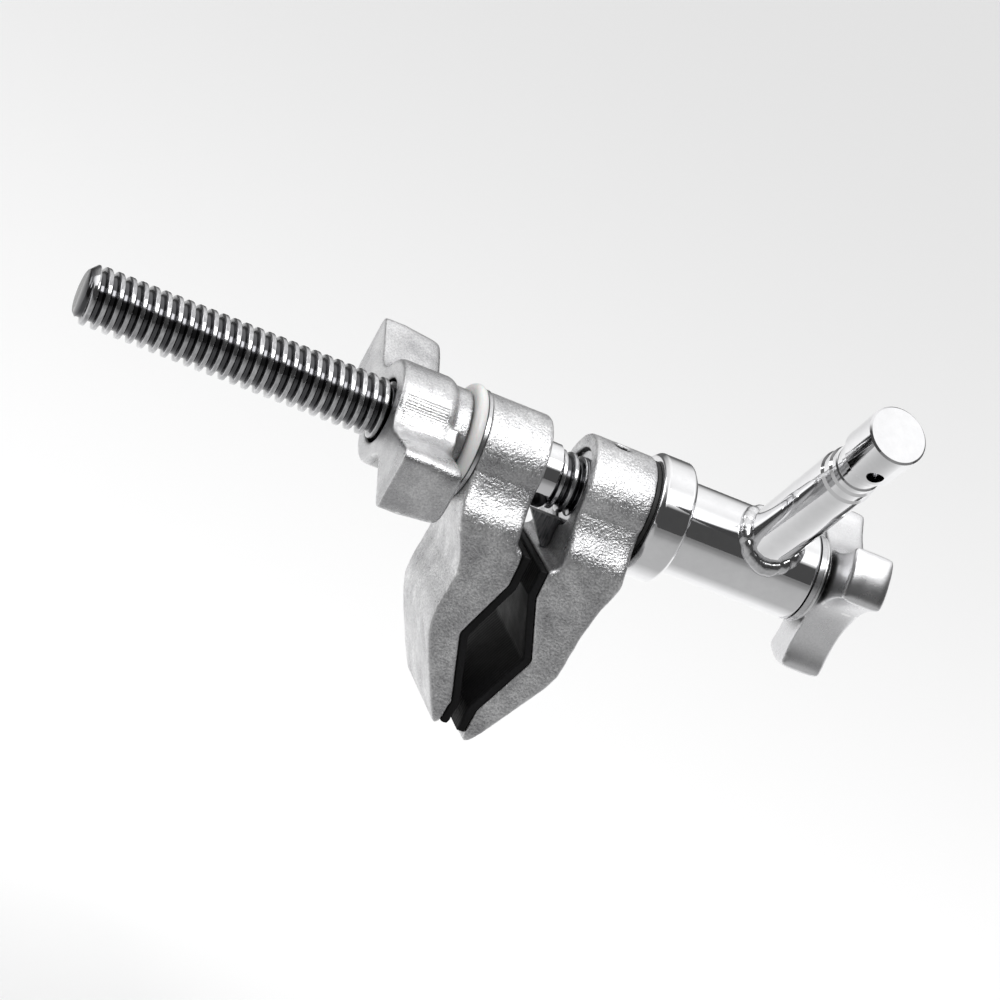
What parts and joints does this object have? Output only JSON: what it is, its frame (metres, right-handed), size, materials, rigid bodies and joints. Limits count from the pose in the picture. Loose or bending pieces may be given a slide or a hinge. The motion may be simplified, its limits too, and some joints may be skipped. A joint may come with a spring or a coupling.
{
  "type": "end jaw screw clamp",
  "caption": "Studio grip clamp: V jaws with rubber pads on a lead screw, wing drive knob, and a lockable swivel arm carrying a standard lighting spigot.",
  "frame": {"origin": "middle of the grip between the two V jaws at the rest opening", "axes": "+X along the lead screw towards the swivel arm, +Z from the jaw tips up to the screw, -Y the side the spigot leans to"},
  "size_m": [0.2208, 0.0972, 0.129],
  "materials": {
    "screw_steel": "bright zinc on rolled steel thread",
    "jaw_aluminium": "bead-blasted sand casting, fine grain",
    "knob_aluminium": "bead-blasted casting",
    "lock_aluminium": "tumbled satin casting",
    "pad_rubber": "matt moulded rubber with shallow waves",
    "plain_steel": "turned steel",
    "key_steel": "dark milled bar with streaks",
    "black_steel": "black oxide",
    "black_fibre": "black friction fibre",
    "white_nylon": "natural nylon, rounded rim",
    "chrome": "bright chrome plate",
    "weld_metal": "plated fillet weld, uneven",
    "bronze": "sintered bronze"
  },
  "bodies": {
    "fixed_jaw": {"lead_screw": "screw_steel", "fixed_jaw": "jaw_aluminium", "fixed_jaw_pad": "pad_rubber", "screw_seat_ring": "plain_steel", "jaw_set_screw": "black_steel", "guide_key": "key_steel", "swivel_spindle": "plain_steel", "friction_washer": "black_fibre"},
    "sliding_jaw": {"sliding_jaw": "jaw_aluminium", "sliding_jaw_pad": "pad_rubber", "steel_thrust_washer": "plain_steel", "nylon_washer": "white_nylon"},
    "drive_knob": {"drive_knob": "knob_aluminium", "drive_nut": "chrome", "nut_retaining_ring": "black_steel"},
    "swivel_arm": {"flange_ring": "chrome", "swivel_tube": "chrome", "baby_pin": "chrome", "weld_bead": "weld_metal", "tube_bush_inner": "bronze", "tube_bush_outer": "bronze"},
    "lock_washer": {"lock_washer": "plain_steel"},
    "lock_knob": {"lock_knob": "lock_aluminium", "lock_knob_insert": "plain_steel"}
  },
  "joints": [
    {"name": "jaw_slide", "type": "slide", "parent": "fixed_jaw", "child": "sliding_jaw", "axis": [1, 0, 0], "range_m": [-0.072, 0.0025]},
    {"name": "drive_knob_turn", "type": "hinge", "parent": "sliding_jaw", "child": "drive_knob", "pos_m": [0, 0, 0.0425], "axis": [1, 0, 0], "range_deg": [-8200, 300]},
    {"name": "arm_swivel", "type": "hinge", "parent": "fixed_jaw", "child": "swivel_arm", "pos_m": [0.0582, 0, 0.0425], "axis": [1, 0, 0], "continuous": true},
    {"name": "lock_travel", "type": "slide", "parent": "fixed_jaw", "child": "lock_washer", "axis": [1, 0, 0], "range_m": [0, 0.0035]},
    {"name": "lock_knob_turn", "type": "hinge", "parent": "lock_washer", "child": "lock_knob", "pos_m": [0.08, 0, 0.0425], "axis": [1, 0, 0], "range_deg": [0, 725]}
  ],
  "couplings": [
    {"joint": "drive_knob_turn", "follows": "jaw_slide", "rad_per_m": 1979},
    {"joint": "lock_knob_turn", "follows": "lock_travel", "rad_per_m": 3590.4}
  ]
}
